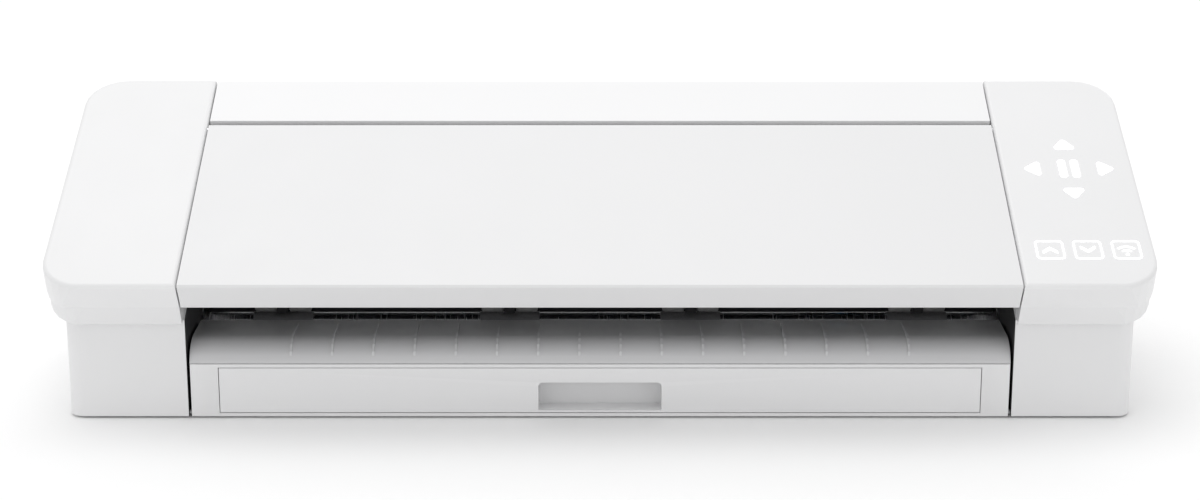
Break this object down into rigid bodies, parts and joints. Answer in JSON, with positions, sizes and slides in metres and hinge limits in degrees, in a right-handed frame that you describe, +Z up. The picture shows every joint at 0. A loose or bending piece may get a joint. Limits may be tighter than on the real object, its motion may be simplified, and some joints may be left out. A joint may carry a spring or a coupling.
{
  "type": "vinyl cutter",
  "caption": "Wedge-shaped desktop vinyl cutter with hinged lid, sliding tool carriage, feed and pinch rollers, roll drawer, cross cutter and touch keys.",
  "frame": {"origin": "centre of the footprint's bounding box on the table", "axes": "+X to the right seen from the front, -Y the front, +Z up"},
  "size_m": [0.57, 0.1944, 0.1485],
  "materials": {
    "shell_white": "white moulded, fine satin",
    "lid_white": "white moulded, satin",
    "body_grey": "light grey-white moulded",
    "drawer_grey": "light grey moulded",
    "apron_grey": "light grey moulded",
    "black_plastic": "black moulded",
    "icon_white": "translucent white, lit",
    "pcb_green": "circuit board",
    "steel": "plated sheet",
    "steel_shaft": "ground",
    "grit": "knurled grit",
    "rail_alu": "extruded, anodised",
    "rubber_black": "moulded",
    "rubber_grey": "pinch tyre",
    "motor_black": "coated",
    "tool_blue": "moulded",
    "tool_grey": "moulded",
    "strip_dark": "dark cutting strip",
    "brass": "turned"
  },
  "bodies": {
    "chassis": {"base_pan": "steel", "carriage_belt": "rubber_black", "carriage_motor": "motor_black", "carriage_rail": "rail_alu", "cross_cutter_rail": "rail_alu", "cutting_strip": "strip_dark", "feed_belt": "rubber_black", "feed_motor": "motor_black", "front_apron": "apron_grey", "front_frame": "body_grey", "guide_shaft": "steel_shaft", "idler_bracket": "steel", "left_body_shell": "body_grey", "left_collar": "body_grey", "left_side_frame": "steel", "left_top_cover": "shell_white", "lid_hinge_pins": "steel_shaft", "main_pcb": "pcb_green", "panel_icons": "icon_white", "platen_bed": "black_plastic", "power_switch": "black_plastic", "rear_guide": "black_plastic", "rear_ports": "black_plastic", "rear_top_cover": "shell_white", "rear_wall": "body_grey", "right_body_shell": "body_grey", "right_collar": "body_grey", "right_side_frame": "steel", "right_top_cover": "shell_white", "rubber_feet": "rubber_black", "touch_pcb": "pcb_green"},
    "lid": {"lid_shell": "lid_white", "lid_stiffener": "steel"},
    "carriage": {"carriage_body": "black_plastic", "carriage_cover": "shell_white"},
    "tool_holder_1": {"tool_slide_1": "black_plastic", "tool_1": "tool_blue"},
    "tool_holder_2": {"tool_slide_2": "black_plastic", "tool_2": "tool_grey"},
    "latch_1": {"tool_latch_1": "shell_white"},
    "latch_2": {"tool_latch_2": "shell_white"},
    "motor_pulley_body": {"motor_pulley": "brass"},
    "idler_pulley_body": {"idler_pulley": "black_plastic"},
    "feed_motor_pulley_body": {"feed_motor_pulley": "brass"},
    "feed_roller_body": {"feed_roller": "steel_shaft", "grit_bands": "grit", "feed_pulley": "black_plastic"},
    "pinch_bar_body": {"pinch_bar": "steel", "pinch_arms": "black_plastic"},
    "pinch_1": {"pinch_roller_1": "rubber_grey"},
    "pinch_2": {"pinch_roller_2": "rubber_grey"},
    "pinch_3": {"pinch_roller_3": "rubber_grey"},
    "pinch_4": {"pinch_roller_4": "rubber_grey"},
    "drawer": {"drawer_panel": "drawer_grey", "drawer_tray": "black_plastic"},
    "drawer_roller_front": {"drawer_roller_1": "rail_alu"},
    "drawer_roller_rear": {"drawer_roller_2": "rail_alu"},
    "cross_cutter": {"cross_cutter_slider": "black_plastic", "cross_cutter_wheel": "steel_shaft"},
    "button": {"power_button": "shell_white"}
  },
  "joints": [
    {"name": "lid_hinge", "type": "hinge", "parent": "chassis", "child": "lid", "pos_m": [0, 0.02683, 0.12891], "axis": [-1, 0, 0], "range_deg": [0, 70]},
    {"name": "carriage_slide", "type": "slide", "parent": "chassis", "child": "carriage", "axis": [-1, 0, 0], "range_m": [0, 0.3]},
    {"name": "tool_1_lower", "type": "slide", "parent": "carriage", "child": "tool_holder_1", "axis": [0, 0, -1], "range_m": [0, 0.003], "stiffness_N_per_m": 300, "springref_m": -0.004},
    {"name": "tool_2_lower", "type": "slide", "parent": "carriage", "child": "tool_holder_2", "axis": [0, 0, -1], "range_m": [0, 0.003], "stiffness_N_per_m": 300, "springref_m": -0.004},
    {"name": "latch_1_turn", "type": "hinge", "parent": "tool_holder_1", "child": "latch_1", "pos_m": [0.132, -0.007, 0.0785], "axis": [-1, 0, 0], "range_deg": [0, 75]},
    {"name": "latch_2_turn", "type": "hinge", "parent": "tool_holder_2", "child": "latch_2", "pos_m": [0.168, -0.007, 0.0785], "axis": [-1, 0, 0], "range_deg": [0, 75]},
    {"name": "motor_pulley_turn", "type": "hinge", "parent": "chassis", "child": "motor_pulley_body", "pos_m": [0.244, 0.052, 0.079], "axis": [0, 0, 1], "range_deg": [-10, 3600]},
    {"name": "idler_pulley_turn", "type": "hinge", "parent": "chassis", "child": "idler_pulley_body", "pos_m": [-0.244, 0.052, 0.079], "axis": [0, 0, 1], "range_deg": [-10, 3600]},
    {"name": "feed_roller_turn", "type": "hinge", "parent": "chassis", "child": "feed_roller_body", "pos_m": [0, -0.022, 0.0344], "axis": [1, 0, 0], "continuous": true},
    {"name": "feed_motor_turn", "type": "hinge", "parent": "chassis", "child": "feed_motor_pulley_body", "pos_m": [-0.23, 0.03, 0.0344], "axis": [1, 0, 0], "continuous": true},
    {"name": "pinch_lift", "type": "hinge", "parent": "chassis", "child": "pinch_bar_body", "pos_m": [0, -0.012, 0.06], "axis": [-1, 0, 0], "range_deg": [0, 12]},
    {"name": "pinch_roller_1_turn", "type": "hinge", "parent": "pinch_bar_body", "child": "pinch_1", "pos_m": [-0.17, -0.022, 0.0462], "axis": [1, 0, 0], "continuous": true},
    {"name": "pinch_roller_2_turn", "type": "hinge", "parent": "pinch_bar_body", "child": "pinch_2", "pos_m": [-0.0485, -0.022, 0.0462], "axis": [1, 0, 0], "continuous": true},
    {"name": "pinch_roller_3_turn", "type": "hinge", "parent": "pinch_bar_body", "child": "pinch_3", "pos_m": [0.0485, -0.022, 0.0462], "axis": [1, 0, 0], "continuous": true},
    {"name": "pinch_roller_4_turn", "type": "hinge", "parent": "pinch_bar_body", "child": "pinch_4", "pos_m": [0.17, -0.022, 0.0462], "axis": [1, 0, 0], "continuous": true},
    {"name": "drawer_slide", "type": "slide", "parent": "chassis", "child": "drawer", "axis": [0, -1, 0], "range_m": [0, 0.1]},
    {"name": "drawer_roller_front_turn", "type": "hinge", "parent": "drawer", "child": "drawer_roller_front", "pos_m": [0, -0.042, 0.015], "axis": [1, 0, 0], "continuous": true},
    {"name": "drawer_roller_rear_turn", "type": "hinge", "parent": "drawer", "child": "drawer_roller_rear", "pos_m": [0, 0.008, 0.015], "axis": [1, 0, 0], "continuous": true},
    {"name": "cross_cutter_slide", "type": "slide", "parent": "chassis", "child": "cross_cutter", "axis": [1, 0, 0], "range_m": [0, 0.372]},
    {"name": "power_button_press", "type": "slide", "parent": "chassis", "child": "button", "axis": [-1, 0, 0], "range_m": [0, 0.0015], "stiffness_N_per_m": 800}
  ],
  "couplings": [
    {"joint": "motor_pulley_turn", "follows": "carriage_slide", "rad_per_m": 169.49},
    {"joint": "idler_pulley_turn", "follows": "carriage_slide", "rad_per_m": 169.49},
    {"joint": "feed_motor_turn", "follows": "feed_roller_turn", "ratio": 2},
    {"joint": "pinch_roller_1_turn", "follows": "feed_roller_turn", "ratio": -1.0909},
    {"joint": "pinch_roller_2_turn", "follows": "feed_roller_turn", "ratio": -1.0909},
    {"joint": "pinch_roller_3_turn", "follows": "feed_roller_turn", "ratio": -1.0909},
    {"joint": "pinch_roller_4_turn", "follows": "feed_roller_turn", "ratio": -1.0909}
  ]
}
